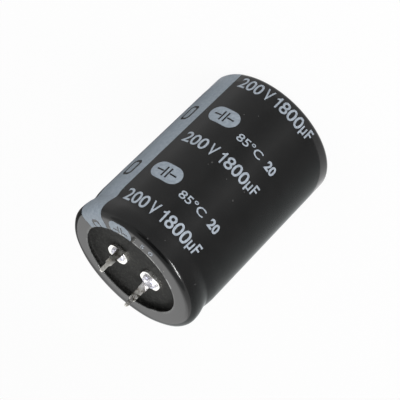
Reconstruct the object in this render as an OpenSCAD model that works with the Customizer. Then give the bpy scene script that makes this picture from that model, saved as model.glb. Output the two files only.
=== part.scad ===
// Aluminium electrolytic capacitor with two snap-in pins, in a shrink sleeve.
// Z runs along the axis. The closed end rests on z = 0 and the pins point up.
// Every solid of revolution is one outline, turned about the axis.

/* [Case] */
// Diameter over the sleeve on the straight body
body_d = 35; // [30:0.5:40]
// Length over the sleeve, from the closed end to the rim
body_len = 50.5; // [45:0.5:60]
// Thickness of the shrink sleeve
sleeve_t = 0.25; // [0.15:0.05:0.35]
// Wall of the drawn can
can_wall = 0.5; // [0.4:0.05:0.6]
// Thickness of the can's closed end
end_t = 0.9; // [0.8:0.05:1.2]
// Outside radius of the can's shoulder at the closed end
shoulder_r = 1; // [0.8:0.1:1.4]
// How far the sleeve folds in over the closed end, past the shoulder
end_fold = 1.6; // [1:0.1:3]

/* [Vent] */
// Diameter of the coined dish in the closed end
dish_d = 23; // [18:0.5:24]
// Depth of the dish
dish_depth = 0.25; // [0.15:0.05:0.3]
// Number of arms in the scored vent
score_arms = 3; // [2:1:4]
// Length of each arm from the centre
score_len = 8.5; // [6:0.5:8.5]
// Depth of the score below the dish
score_depth = 0.35; // [0.2:0.05:0.35]

/* [Groove and rim] */
// How far the rim band stands out past the body, at the radius
band_flare = 0.2; // [0:0.05:0.4]
// Centre of the rolled groove, below the rim
groove_drop = 6; // [5.5:0.1:7]
// Depth of the groove rolled into the can
groove_depth = 1.2; // [0.8:0.1:1.3]
// Radius of the roller that presses the groove
roller_r = 1; // [0.8:0.1:1.3]
// Radius of the groove's two edges
groove_edge_r = 0.9; // [0.8:0.1:1.2]
// How far the skin dips over the groove
neck_dip = 0.33; // [0.2:0.01:0.5]
// Half the length of the dipped neck
neck_half = 3.8; // [3:0.1:4.5]
// Radius of the curl's outer corner
curl_r = 0.95; // [0.8:0.05:1.2]
// Radius of the lip that the curl turns in
lip_r = 0.9; // [0.8:0.05:1.1]
// Width of the curled rim, from the band to the lip
curl_w = 2.95; // [2.6:0.05:3.4]
// Diameter of the sleeve's opening over the seal
opening_d = 25.2; // [23:0.2:27]
// Slope of the sleeve's free edge, in degrees
edge_slope = 12; // [6:1:14]

/* [Seal] */
// Depth of the rubber's face below the rim
seal_drop = 1.5; // [1.3:0.1:1.8]
// Thickness of the rubber facing
rubber_t = 0.9; // [0.6:0.1:1.2]
// Clearance round the seal, in the can
seal_gap = 0.05; // [0.02:0.01:0.1]

/* [Pins] */
// Distance between the two pins
pin_pitch = 10; // [9:0.5:11]
// Offset of each pin from the rivets' cross line, to opposite sides
pin_offset = 1.9; // [1.5:0.1:2.2]
// Reach of the pins past the rim
pin_reach = 6.2; // [4:0.1:6.5]
// Thickness of the stamped strip
strip_t = 0.8; // [0.6:0.05:0.9]
// Width of the lug under the rivet
lug_w = 5.3; // [4.8:0.1:5.6]
// Length of the lug, from the pin's outer face
lug_len = 5.9; // [5.6:0.1:6.6]
// Width of the raised border that stands round the lug
border_w = 0.55; // [0.4:0.05:0.7]
// Depth of the pan pressed into the lug, inside its border
pan_depth = 0.2; // [0.1:0.05:0.3]
// Inside radius of the bend between lug and pin
bend_r = 0.4; // [0.3:0.05:0.5]
// Width of the pin up to its shoulders
pin_w = 1.6; // [1.4:0.1:2]
// Width of the pin's narrow end
tip_w = 0.95; // [0.7:0.05:1.1]
// Length of the narrow end
tip_len = 2.6; // [1.6:0.1:3]
// How far the snap kink bows the pin out
kink = 0.3; // [0.1:0.05:0.4]

/* [Rivets and tabs] */
// Diameter of the rivet's shank
shank_d = 2.6; // [2.2:0.1:2.8]
// Diameter of the rivet's set head, on the lug
head_d = 3.5; // [3.2:0.1:3.6]
// Height of the set head above the pan
head_h = 0.7; // [0.5:0.05:0.8]
// Number of notches that the punch leaves round the set head
notches = 6; // [3:1:8]
// Width of a notch
notch_w = 0.35; // [0.2:0.05:0.5]
// Diameter of the rivet's flange, inside the can
flange_d = 5.6; // [5:0.2:6.4]
// Thickness of the flange
flange_t = 0.7; // [0.5:0.1:0.9]
// Diameter of the washer on the flange
washer_d = 6.6; // [6:0.2:7.2]
// Thickness of the washer
washer_t = 0.5; // [0.3:0.1:0.6]
// Thickness of the lead tab
tab_t = 0.3; // [0.2:0.05:0.4]
// Width of the lead tab
tab_w = 5; // [4.6:0.1:5.6]
// Radius of the tab's fold, to the middle of the strip
fold_r = 1.05; // [0.9:0.05:1.15]
// How deep the tab reaches into the winding
tab_depth = 6; // [4:0.5:10]
// Distance from the rivet to where the tab goes down into the winding
tab_reach = 3.2; // [2.8:0.1:3.5]
// Distance from the rivet to the centre of the tab's fold
tab_fold = 5.4; // [5:0.1:5.8]
// Distance from the rivet to the tab's short end
tab_tail = 3; // [2.6:0.1:3.6]
// Clearance of the rivet in its holes, and of the tab in the winding
fit_gap = 0.05; // [0.02:0.01:0.08]

/* [Winding] */
// Radial space between the taped winding and the can
winding_gap = 0.4; // [0.2:0.05:0.6]
// Space between the winding and the rivets' flanges
head_room = 3.6; // [3.3:0.1:5]
// Hollow core left by the winding spindle
core_d = 4.5; // [3:0.5:6]
// Radial step from one drawn turn to the next
turn_step = 1.1; // [1:0.1:1.5]
// Space between drawn turns
turn_gap = 0.1; // [0.08:0.01:0.15]
// Thickness of the closing tape
tape_t = 0.08; // [0.06:0.01:0.12]
// Thickness of the insulating disc under the winding
base_t = 0.5; // [0.3:0.1:0.8]

/* [Print] */
// Thickness of the ink
ink_t = 0.03; // [0.02:0.01:0.05]
// Angle of the stripe's middle, seen from the pins
stripe_mid = -23.6; // [-60:0.2:0]
// Width of the polarity stripe round the body, in degrees
stripe_arc = 27.4; // [22:0.2:45]
// Distance from one printed row to the next alike
row_pitch = 20.1; // [18:0.05:21]
// Distance of the first rating row from the closed end
row_start = 3.25; // [3:0.05:6]
// Height of the rating figures
figure_h = 3.2; // [2.4:0.1:3.6]
// Angle from one figure of the rating to the next
figure_arc = 7; // [6:0.2:7.6]
// Share of that angle that a figure fills
figure_fill = 0.74; // [0.6:0.02:0.86]
// Distance from a rating row to the polarity mark above it
mark_rise = 12.4; // [11:0.1:13]
// Length of a polarity mark along the stripe
mark_len = 5.1; // [4:0.1:6]
// Width of a polarity mark round the body
mark_w = 3.3; // [2.6:0.1:4]
// Width of the line that the mark is drawn with
mark_line = 0.7; // [0.4:0.05:0.9]
// Distance from a rating row to the middle of the small row above it
small_rise = 11; // [10:0.1:12]

/* [Hidden] */
$fn = 96;

skin_r = body_d / 2 - sleeve_t;
band_r = skin_r + band_flare;
can_base = sleeve_t;
can_top = body_len - sleeve_t;
groove_z = body_len - groove_drop;
curl_z = can_top - curl_r;
lip_z = can_top - lip_r;
lip_face = band_r - curl_w;
groove_turn = acos(1 - groove_depth / (roller_r + groove_edge_r));
groove_half = (roller_r + groove_edge_r) * sin(groove_turn);
fold_edge_r = skin_r - shoulder_r - end_fold;
arc_steps = 8;

seat_z = ceil((groove_z + groove_half) * 100) / 100;
rubber_z = body_len - seal_drop;
phenolic_t = rubber_z - rubber_t - seat_z;
seal_r = skin(seat_z) - can_wall - seal_gap;

rivet_x = sqrt(pow(pin_pitch / 2, 2) - pow(pin_offset, 2));
lug_outer_y = -pin_offset - strip_t / 2;
rivet_y = lug_outer_y + lug_len / 2;
lug_top = rubber_z + strip_t;
pan_z = lug_top - pan_depth;
pin_top = body_len + pin_reach;
pin_back = lug_outer_y + strip_t + bend_r;
hole_d = shank_d + 2 * fit_gap;
washer_z = seat_z - tab_t - washer_t;
flange_z = washer_z - flange_t;

inner_r = skin_r - can_wall;
floor_z = can_base + end_t;
winding_z = floor_z + base_t;
winding_top = flange_z - head_room;
tape_r = inner_r - winding_gap;
winding_r = tape_r - tape_t;
tab_x = rivet_x + tab_reach;

stripe_start = stripe_mid - stripe_arc / 2;
text_start = stripe_start - 6.2;

// Shapes of curves

// A smooth step from 0 to 1 as u goes from -1 to 1
function smooth(u) = u < -1 ? 0 : u > 1 ? 1 : (1 + sin(90 * u)) / 2;
// A smooth hump of height 1 at u = 0, gone at -1 and 1
function hump(u) = abs(u) > 1 ? 0 : (1 + cos(180 * u)) / 2;
// Points of an arc about [r, z], from angle a to angle b
function arc(r, z, rad, a, b, n = arc_steps) =
    [for (i = [0:n]) [r + rad * cos(a + (b - a) * i / n), z + rad * sin(a + (b - a) * i / n)]];
function reversed(list) = [for (i = [len(list) - 1:-1:0]) list[i]];

// Radius of the skin, where the sleeve lies on the can
function skin(z) =
    skin_r + band_flare * smooth((z - groove_z) / neck_half) - neck_dip * hump((z - groove_z) / neck_half);
// Points of the dipped neck, moved out by off
function neck_path(off) =
    [for (i = [-8:8]) let (z = groove_z + neck_half * i / 8) [skin(z) + off, z]];
// Depth and slope of the rolled groove: a roller arc between two edge arcs
function groove_at(u) = let (d = abs(u)) d >= groove_half ? 0 :
    d < roller_r * sin(groove_turn) ? groove_depth - roller_r + sqrt(pow(roller_r, 2) - d * d) :
    groove_edge_r - sqrt(pow(groove_edge_r, 2) - pow(groove_half - d, 2));
// Heights at which the groove is drawn, measured from its centre
groove_up = concat(
    [for (i = [0:4]) roller_r * sin(groove_turn * i / 4)],
    [for (i = [3:-1:0]) groove_half - groove_edge_r * sin(groove_turn * i / 4)]);
groove_u = concat([for (i = [len(groove_up) - 1:-1:1]) -groove_up[i]], groove_up);
// Angle of the wall in the groove at the point with index i
function groove_angle(i) = let (k = i - (len(groove_up) - 1), m = abs(k))
    (k < 0 ? 1 : -1) * groove_turn * (m <= 4 ? m : 8 - m) / 4;
function wall_point(i, off) =
    let (z = groove_z + groove_u[i], a = groove_angle(i))
    [skin(z) - groove_at(groove_u[i]) - off * cos(a), z - off * sin(a)];

// Sleeve

// Outline from the fold at the closed end to the free edge at the opening, off = 0 on the can
function sleeve_path(off) = concat(
    [[fold_edge_r, can_base - off]],
    arc(skin_r - shoulder_r, can_base + shoulder_r, shoulder_r + off, -90, 0),
    neck_path(off),
    arc(band_r - curl_r, curl_z, curl_r + off, 0, 90),
    arc(lip_face + lip_r, lip_z, lip_r + off, 90, 90 + edge_slope, 2),
    [free_edge(off)]);
function free_edge(off) =
    let (r0 = lip_face + lip_r - (lip_r + off) * sin(edge_slope), z0 = lip_z + (lip_r + off) * cos(edge_slope))
    [opening_d / 2, z0 - (r0 - opening_d / 2) * tan(edge_slope)];

module sleeve() {
    color([0.16, 0.17, 0.17])
    rotate_extrude()
    polygon(concat(sleeve_path(0), reversed(sleeve_path(sleeve_t))));
}

// Ink on the sleeve

// A wedge-shaped window from angle a to angle b, between two heights
module window(a, b, z0, z1) {
    rotate([0, 0, a])
    rotate_extrude(angle = b - a)
    translate([body_d / 4, z0])
    square([body_d / 2, z1 - z0]);
}

// A layer of ink with the sleeve's outline, from angle a to angle b
module ink_layer(a, b) {
    rotate([0, 0, a])
    rotate_extrude(angle = b - a)
    polygon(concat(sleeve_path(sleeve_t), reversed(sleeve_path(sleeve_t + ink_t))));
}

// A bar of ink from angle a to angle b, centred on height z: plain on the straight body,
// and cut from a whole layer where it reaches the neck
module ink_bar(a, b, z, h) {
    if (z + h / 2 < groove_z - neck_half) {
        rotate([0, 0, a])
        rotate_extrude(angle = b - a)
        translate([body_d / 2, z - h / 2])
        square([ink_t, h]);
    } else {
        intersection() {
            ink_layer(a, b);
            window(a - 1, b + 1, z - h / 2, z + h / 2);
        }
    }
}

// The mark in the stripe: an eight-sided ring of bare sleeve, with a minus bar of ink left inside it
module mark_cut(z) {
    rotate([0, 0, stripe_mid])
    translate([0, 0, z])
    rotate([90, 0, 90])
    linear_extrude(body_d)
    difference() {
        mark_outline(mark_w / 2, mark_len / 2);
        mark_outline(mark_w / 2 - mark_line, mark_len / 2 - mark_line);
    }
}

module mark_outline(w, l) {
    corner = w / 2;
    polygon([[w, corner - l], [w, l - corner], [w - corner, l], [corner - w, l],
             [-w, l - corner], [-w, corner - l], [corner - w, -l], [w - corner, -l]]);
}

// The stripe goes in over both ends, but its ink stops short of the ring that the part rests on
module stripe() {
    difference() {
        ink_layer(stripe_start, stripe_start + stripe_arc);
        translate([0, 0, -1]) cylinder(d = body_d * 2, h = 1 + ink_t);
        for (k = [0:1]) mark_cut(row_start + mark_rise + k * row_pitch);
    }
}

// One place of a row of figures, counted from the stripe, with its own width
module figure_place(k, z, h, arc) {
    first = text_start - k * arc;
    ink_bar(first - arc * figure_fill, first, z, h);
}

// One row of the rating: four places for the voltage, a space, and six for the capacitance
module rating_row(z) {
    for (k = [0:3]) figure_place(k, z, figure_h, figure_arc);
    for (k = [0:5]) figure_place(k + 4.6, z, figure_h, figure_arc);
}

// The row between: a plain field, the temperature's figures, and a pair set apart
module small_row(z) {
    small_arc = figure_arc * 0.8;
    small_h = figure_h * 0.65;
    field_h = figure_h * 1.6;
    ink_bar(text_start - 3.8 * figure_arc, text_start, z, field_h);
    for (k = [5.6:1:8.6]) figure_place(k, z + (field_h - small_h) / 2, small_h, small_arc);
    for (k = [10.6:1:11.6]) figure_place(k, z + (field_h - small_h) / 2, small_h, small_arc);
}

module sleeve_print() {
    color([0.6, 0.65, 0.7]) {
        stripe();
        for (k = [0:2]) rating_row(row_start + k * row_pitch);
        for (k = [0:1]) small_row(row_start + small_rise + k * row_pitch);
    }
}

// Can

// Outside from the closed end to the lip
function can_outside() = concat(
    [[0, can_base]],
    arc(skin_r - shoulder_r, can_base + shoulder_r, shoulder_r, -90, 0),
    [for (i = [-8:8]) let (u = neck_half * i / 8) if (u < -groove_half) [skin(groove_z + u), groove_z + u]],
    [for (i = [0:len(groove_u) - 1]) wall_point(i, 0)],
    [for (i = [-8:8]) let (u = neck_half * i / 8) if (u > groove_half) [skin(groove_z + u), groove_z + u]],
    arc(band_r - curl_r, curl_z, curl_r, 0, 90),
    arc(lip_face + lip_r, lip_z, lip_r, 90, 180),
    [[lip_face, rubber_z]]);

// Inside from the lip back to the closed end
function can_inside() = concat(
    [[lip_face + can_wall, rubber_z]],
    arc(lip_face + lip_r, lip_z, lip_r - can_wall, 180, 90),
    arc(band_r - curl_r, curl_z, curl_r - can_wall, 90, 0),
    [for (i = [8:-1:-8]) let (u = neck_half * i / 8) if (u > groove_half)
        [skin(groove_z + u) - can_wall, groove_z + u]],
    [for (i = [len(groove_u) - 1:-1:0]) wall_point(i, can_wall)],
    [for (i = [8:-1:-8]) let (u = neck_half * i / 8) if (u < -groove_half)
        [skin(groove_z + u) - can_wall, groove_z + u]],
    arc(inner_r - shoulder_r / 2, floor_z + shoulder_r / 2, shoulder_r / 2, 0, -90),
    [[0, floor_z]]);

// One arm of the score: a V-shaped cut from the centre outwards
module score_arm() {
    top_z = can_base + dish_depth;
    rotate([90, 0, 90])
    linear_extrude(score_len)
    polygon([[-score_depth, top_z - 0.01], [score_depth, top_z - 0.01], [0, top_z + score_depth]]);
}

module can() {
    color([0.8, 0.81, 0.82])
    difference() {
        rotate_extrude() polygon(concat(can_outside(), can_inside()));
        translate([0, 0, can_base - 1]) cylinder(d = dish_d, h = 1 + dish_depth);
        for (k = [0:score_arms - 1])
            rotate([0, 0, 90 + 360 * k / score_arms]) score_arm();
    }
}

// Winding

module base_insulator() {
    color([0.85, 0.78, 0.62])
    translate([0, 0, floor_z])
    cylinder(r = inner_r - shoulder_r / 2 - fit_gap, h = base_t);
}

turns = (winding_r - core_d / 2) / turn_step;
turn_points = 36;
function spiral_r(t) = core_d / 2 + turn_step * (t - 1);
// A spiral band, held to a round core inside and a round roll outside
function spiral_band() =
    let (n = ceil(turn_points * (turns + 1)) - 4, side = [for (i = [4:n]) i / turn_points])
    concat(
        [for (t = side) let (r = min(winding_r, spiral_r(t) + turn_step - turn_gap))
            [r * cos(360 * t), r * sin(360 * t)]],
        [for (t = reversed(side)) let (r = max(core_d / 2, spiral_r(t)))
            [r * cos(360 * t), r * sin(360 * t)]]);

module tab_slot() {
    translate([tab_x - tab_t / 2 - fit_gap, -tab_w / 2 - fit_gap, winding_top - tab_depth - fit_gap])
    cube([tab_t + 2 * fit_gap, tab_w + 2 * fit_gap, tab_depth + 1]);
}

module winding() {
    color([0.75, 0.76, 0.74])
    difference() {
        translate([0, 0, winding_z])
        linear_extrude(winding_top - winding_z)
        polygon(spiral_band());
        translate([0, rivet_y, 0]) tab_slot();
        rotate([0, 0, 180]) translate([0, rivet_y, 0]) tab_slot();
    }
}

module winding_tape() {
    color([0.55, 0.4, 0.2])
    translate([0, 0, winding_z])
    difference() {
        cylinder(r = tape_r, h = winding_top - winding_z);
        translate([0, 0, -1]) cylinder(r = winding_r, h = winding_top - winding_z + 2);
    }
}

// Seal

// Both rivets' places: the negative one on +X, the positive one turned half a turn
module at_rivet() {
    translate([rivet_x, rivet_y, 0]) children();
}

module seal_disc(z, h) {
    translate([0, 0, z])
    difference() {
        cylinder(r = seal_r, h = h);
        for (a = [0, 180])
            rotate([0, 0, a]) at_rivet() translate([0, 0, -1]) cylinder(d = hole_d, h = h + 2);
    }
}

module phenolic_disc() {
    color([0.45, 0.3, 0.18]) seal_disc(seat_z, phenolic_t);
}

module rubber_facing() {
    color([0.13, 0.13, 0.13]) seal_disc(seat_z + phenolic_t, rubber_t);
}

// Terminals

// Edge of the strip seen from the side: flat lug, bend, pin with its snap kink
function pin_side() =
    let (bend_y = lug_outer_y + bend_r + strip_t, bend_z = rubber_z + bend_r + strip_t, n = 12,
        rise = pin_top - bend_z)
    concat(
        [[lug_outer_y + lug_len, rubber_z]],
        arc(bend_y, bend_z, bend_r + strip_t, -90, -180),
        [for (i = [1:n]) [lug_outer_y - kink * hump((i / n - 0.45) / 0.45), bend_z + rise * i / n]],
        [for (i = [n:-1:1]) [lug_outer_y + strip_t - kink * hump((i / n - 0.45) / 0.45), bend_z + rise * i / n]],
        arc(bend_y, bend_z, bend_r, -180, -90),
        [[lug_outer_y + lug_len, lug_top]]);

// Front of the pin: shoulders, narrow end and point, drawn for half the width
function pin_half() =
    let (neck_z = pin_top - tip_len, shoulder = 0.45, point = 0.9)
    [[pin_w / 2 + 0.25, lug_top], [pin_w / 2, lug_top + 1], [pin_w / 2, neck_z - shoulder],
     [tip_w / 2, neck_z], [tip_w / 2, pin_top - point], [tip_w / 4, pin_top]];

module pin_front() {
    right = pin_half();
    rotate([90, 0, 0])
    translate([0, 0, -body_d / 2])
    linear_extrude(body_d)
    polygon(concat(right, [for (p = reversed(right)) [-p[0], p[1]]]));
}

// Lug seen from above: a square plate with its corners rounded off, from height z up
module lug_plan(inset, z) {
    w = lug_w - 2 * inset;
    l = lug_len - 2 * inset;
    translate([0, rivet_y, z])
    intersection() {
        cylinder(d = lug_len * 1.12 - 2 * inset, h = lug_top);
        translate([-w / 2, -l / 2, 0]) cube([w, l, lug_top]);
    }
}

module terminal() {
    difference() {
        intersection() {
            translate([-lug_w / 2, 0, 0])
            rotate([90, 0, 90])
            linear_extrude(lug_w)
            polygon(pin_side());
            union() {
                pin_front();
                lug_plan(0, 0);
            }
        }
        translate([0, rivet_y, 0]) cylinder(d = hole_d, h = body_len);
        intersection() {
            lug_plan(border_w, pan_z);
            translate([-lug_w / 2, pin_back, 0]) cube([lug_w, lug_len, body_len]);
        }
    }
}

module terminal_negative() {
    color([0.88, 0.88, 0.86]) translate([rivet_x, 0, 0]) terminal();
}

module terminal_positive() {
    color([0.88, 0.88, 0.86]) rotate([0, 0, 180]) translate([rivet_x, 0, 0]) terminal();
}

// Rivets, washers and lead tabs

// The rivet is one outline turned about its own axis, with a dimple in the set head and notches round it
module rivet() {
    crown = 0.25;
    dimple_r = head_d / 6;
    head_z = pan_z + head_h;
    difference() {
        rotate_extrude()
        polygon(concat(
            [[0, flange_z], [flange_d / 2, flange_z], [flange_d / 2, washer_z], [shank_d / 2, washer_z],
             [shank_d / 2, pan_z], [head_d / 2, pan_z]],
            arc(head_d / 2 - crown, head_z - crown, crown, 0, 90, 4),
            [[dimple_r * 2, head_z], [dimple_r, head_z - crown], [0, head_z - crown]]));
        for (k = [0:notches - 1])
            rotate([0, 0, 360 * k / notches])
            translate([shank_d / 2, -notch_w / 2, head_z - crown])
            cube([head_d / 2, notch_w, head_h]);
    }
}

module rivet_negative() {
    color([0.78, 0.79, 0.84]) at_rivet() rivet();
}

module rivet_positive() {
    color([0.78, 0.79, 0.84]) rotate([0, 0, 180]) at_rivet() rivet();
}

module washer() {
    translate([0, 0, washer_z])
    difference() {
        cylinder(d = washer_d, h = washer_t);
        translate([0, 0, -1]) cylinder(d = hole_d, h = washer_t + 2);
    }
}

module washer_negative() {
    color([0.8, 0.8, 0.8]) at_rivet() washer();
}

module washer_positive() {
    color([0.8, 0.8, 0.8]) rotate([0, 0, 180]) at_rivet() washer();
}

// Edge of the tab: flat on the seal, folded back under itself, then down into the winding
function tab_edge(off) =
    let (flat_z = seat_z - tab_t / 2, low_z = flat_z - 2 * fold_r)
    concat(
        [[-tab_tail, flat_z + off]],
        arc(tab_fold, flat_z - fold_r, fold_r + off, 90, -90),
        arc(tab_reach + fold_r, low_z - fold_r, fold_r - off, 90, 180),
        [[tab_reach + off, winding_top - tab_depth]]);

module tab() {
    difference() {
        translate([0, tab_w / 2, 0])
        rotate([90, 0, 0])
        linear_extrude(tab_w)
        polygon(concat(tab_edge(tab_t / 2), reversed(tab_edge(-tab_t / 2))));
        translate([0, 0, washer_z]) cylinder(d = hole_d, h = body_len);
    }
}

module tab_negative() {
    color([0.82, 0.82, 0.82]) at_rivet() tab();
}

module tab_positive() {
    color([0.82, 0.82, 0.82]) rotate([0, 0, 180]) at_rivet() tab();
}

sleeve();
sleeve_print();
can();
base_insulator();
winding();
winding_tape();
phenolic_disc();
rubber_facing();
terminal_negative();
terminal_positive();
rivet_negative();
rivet_positive();
washer_negative();
washer_positive();
tab_negative();
tab_positive();
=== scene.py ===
# %% [markdown]
# # A snap-in capacitor
# This lesson dresses a construction model of an aluminium electrolytic capacitor: a drawn can in
# a black shrink sleeve, a rubber seal in a rolled rim, and two tinned pins. The model's solids come
# in as a fixed frame in metres. Sizes below are in millimetres and are multiplied by `mm`.

# %% Load the frame
import math

import bmesh
import bpy
from mathutils import Matrix, Vector


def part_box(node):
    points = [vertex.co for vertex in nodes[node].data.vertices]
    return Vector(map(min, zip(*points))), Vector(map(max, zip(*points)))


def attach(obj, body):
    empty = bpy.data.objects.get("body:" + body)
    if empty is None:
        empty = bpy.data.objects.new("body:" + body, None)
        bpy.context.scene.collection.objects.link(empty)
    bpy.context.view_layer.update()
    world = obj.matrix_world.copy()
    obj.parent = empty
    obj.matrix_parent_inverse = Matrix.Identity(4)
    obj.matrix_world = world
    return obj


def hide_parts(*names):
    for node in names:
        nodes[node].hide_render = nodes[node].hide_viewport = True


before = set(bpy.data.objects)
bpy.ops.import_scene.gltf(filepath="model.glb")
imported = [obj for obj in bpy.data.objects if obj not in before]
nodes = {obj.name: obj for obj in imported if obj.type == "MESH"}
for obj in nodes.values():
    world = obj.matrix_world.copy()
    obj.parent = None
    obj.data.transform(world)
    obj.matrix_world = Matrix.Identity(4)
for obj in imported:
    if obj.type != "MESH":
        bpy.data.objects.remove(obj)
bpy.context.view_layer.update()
mm = 0.001
print("nodes:", ", ".join(sorted(nodes)))

# %% [markdown]
# ## Sizes
# Most sizes can be read from the frame: the sleeve gives the length, the lugs give where the pins
# are. The few that a box can't give, such as the depth of the neck over the rolled groove, are
# named here once. The neck starts and is deepest at shares of half its length from its middle.

# %% Sizes
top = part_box("sleeve")[1].z / mm
film = 0.25
body_r = 17.5
band_r = 17.7
neck_drop = 6
neck_z = top - neck_drop
neck_half = 3.8
neck_dip = 0.38
neck_start = -0.75
neck_low = 0.1
neck_power = 1.5
foot_r = 1.25
rim_r = 2.1
lip_rise = 0.35
rim_top = top + lip_rise
opening_r = 12.44
rubber_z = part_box("rubber_facing")[1].z / mm
lug_low, lug_high = (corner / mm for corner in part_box("terminal_negative"))
rivet_low, rivet_high = (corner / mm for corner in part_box("rivet_negative"))
rivet_x = (rivet_low.x + rivet_high.x) / 2
rivet_y = (rivet_low.y + rivet_high.y) / 2
print(f"sleeve {top:.2f} mm long, rubber at {rubber_z:.2f}, rivet at {rivet_x:.2f}, {rivet_y:.2f}")

# %% [markdown]
# ## Camera
# The photograph looks down at about 27 degrees and is turned so that the pins point to its lower
# left. A long lens and a distance of 325 mm give its perspective. The camera's three axes are
# worked out from those angles, so nothing has to be tracked or aimed.

# %% Camera
look_down = math.radians(26.9)
camera_roll = math.radians(-135.04)
aim = Vector((0, 0, 25)) * mm
distance = 325 * mm
photo_px = 400
focal_px = 1409.9
centre_px = (203.85, 197.7)
sensor = 36

back = Vector((0, -math.cos(look_down), math.sin(look_down)))
side = Vector((1, 0, 0))
rise = Vector((0, math.sin(look_down), math.cos(look_down)))
cam_x = math.cos(camera_roll) * side + math.sin(camera_roll) * rise
cam_y = -math.sin(camera_roll) * side + math.cos(camera_roll) * rise

bpy.ops.object.camera_add()
camera = bpy.context.object
camera.name = "photo_camera"
axes = Matrix((cam_x, cam_y, back)).transposed()
camera.matrix_world = Matrix.Translation(aim + back * distance) @ axes.to_4x4()
camera.data.sensor_width = sensor
camera.data.lens = focal_px / photo_px * sensor
camera.data.shift_x = -(centre_px[0] - photo_px / 2) / photo_px
camera.data.shift_y = (centre_px[1] - photo_px / 2) / photo_px
camera.data.clip_start = 10 * mm
bpy.context.scene.camera = camera
print(f"lens {camera.data.lens:.1f} mm, shift {camera.data.shift_x:.4f}, {camera.data.shift_y:.4f}")

# %% [markdown]
# ## Helpers for modelling
# Operators act on what is selected, so each piece starts with nothing selected. A turned piece
# starts as one point, which is extruded along half the outline and then spun round the axis.

# %% Selecting and finishing a piece
def nothing_selected():
    """Leaves edit mode and selects nothing."""
    if bpy.context.mode != "OBJECT":
        bpy.ops.object.mode_set(mode="OBJECT")
    bpy.ops.object.select_all(action="DESELECT")


def only(piece):
    """Selects one piece and makes it active."""
    nothing_selected()
    piece.select_set(True)
    bpy.context.view_layer.objects.active = piece
    return piece


def all_selected():
    """Selects everything that is in edit mode."""
    bpy.ops.mesh.select_all(action="SELECT")


def apply_modifiers(piece):
    """Turns a piece's modifiers into its mesh."""
    only(piece)
    for modifier in list(piece.modifiers):
        bpy.ops.object.modifier_apply(modifier=modifier.name)


def apply_place():
    """Turns the selected piece's place and turn into its mesh."""
    bpy.ops.object.transform_apply(location=True, rotation=True, scale=True)


def smooth(piece, angle=35):
    """Shades a piece smooth, but keeps edges sharper than the angle."""
    only(piece)
    bpy.ops.object.shade_smooth_by_angle(angle=math.radians(angle))


# %% Extruding and turning
weld = 0.0005


def start_point(name, x, y, z):
    """A new piece that is one point, left in edit mode with the point selected."""
    nothing_selected()
    bpy.ops.mesh.primitive_plane_add(size=mm)
    piece = bpy.context.object
    piece.name = piece.data.name = name
    bpy.ops.object.mode_set(mode="EDIT")
    bpy.ops.mesh.merge(type="CENTER")
    bpy.ops.transform.translate(value=(x * mm, y * mm, z * mm))
    return piece


def extrude_along(points):
    """Extrudes the selected point or edge from each point of a path to the next, in mm."""
    for here, there in zip(points, points[1:]):
        step = (Vector(there) - Vector(here)) * mm
        bpy.ops.mesh.extrude_region_move(TRANSFORM_OT_translate={"value": step})


def turned(name, outline, steps=192):
    """Spins an outline of (radius, height) points round the Z axis."""
    path = [(r, 0, z) for r, z in outline]
    piece = start_point(name, *path[0])
    extrude_along(path)
    all_selected()
    bpy.ops.mesh.spin(steps=steps, angle=2 * math.pi, center=(0, 0, 0), axis=(0, 0, 1))
    all_selected()
    bpy.ops.mesh.remove_doubles(threshold=weld * mm)
    bpy.ops.mesh.normals_make_consistent(inside=False)
    bpy.ops.object.mode_set(mode="OBJECT")
    print(f"{name}: {len(piece.data.polygons)} faces")
    return piece


def arc(r, z, radius, start, end, steps):
    """Points of an arc about (r, z), from one angle to another, in degrees."""
    turn = [math.radians(start + (end - start) * i / steps) for i in range(steps + 1)]
    return [(r + radius * math.cos(a), z + radius * math.sin(a)) for a in turn]


# %% [markdown]
# ## The sleeve
# The sleeve is a tube of thin film, shrunk on with heat. It follows the can: straight up the body,
# in over the rolled groove, out over the rim and flat over the seal's edge. It is one turned
# outline with a real thickness, so both cut edges have a face that can catch the light. The points
# near the cut edge are marked with an attribute for a pale colour: partly film whitened by
# stretching, partly a painted glint, so the mark is strongest on the side towards the camera. A
# shrunk edge is never quite true, so the free edge gets soft pulls with proportional editing, as by
# hand.

# %% Outline of the sleeve
foot_steps = 12
body_rows = 12
neck_steps = 20
rim_steps = 22
fold_w = 1.6
edge_r = 0.12
edge_steps = 4
lip_shares = (0.8, 0.6, 0.42, 0.27, 0.16, 0.09)


def skin(z):
    """Radius outside the sleeve at height z, with the neck over the groove."""
    u = (z - neck_z) / neck_half
    if u < neck_start:
        return body_r
    if u < neck_low:
        t = (u - neck_start) / (neck_low - neck_start)
        return body_r - neck_dip * (1 - math.cos(math.pi / 2 * t))
    t = min(1, (u - neck_low) / (1 - neck_low))
    rise = math.sin(math.pi / 2 * t) ** neck_power
    return body_r - neck_dip + (band_r - body_r + neck_dip) * rise


def film_path(inset):
    """The film from the foot's fold to the start of the flat lip, moved in by inset."""
    neck = [neck_z + neck_half * i / neck_steps for i in range(-neck_steps, neck_steps + 1)]
    body = [foot_r + (neck[0] - foot_r) * i / body_rows for i in range(1, body_rows)]
    return (
        [(body_r - foot_r - fold_w, inset)]
        + arc(body_r - foot_r, foot_r, foot_r - inset, -90, 0, foot_steps)
        + [(body_r - inset, z) for z in body]
        + [(skin(z) - inset, z) for z in neck]
        + arc(band_r - rim_r, rim_top - rim_r, rim_r - inset, 0, 90, rim_steps)
    )


def lip_path():
    """The flat lip outside, round its cut edge and back inside."""
    reach = band_r - rim_r - opening_r
    flat = [(opening_r + reach * t, rim_top) for t in lip_shares]
    edge = arc(opening_r + edge_r, rim_top - edge_r, edge_r, 90, 180, edge_steps)
    under = [(r, rim_top - film) for r, z in flat[::-1]]
    return flat + edge + [(opening_r, rim_top - film)], under


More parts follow.
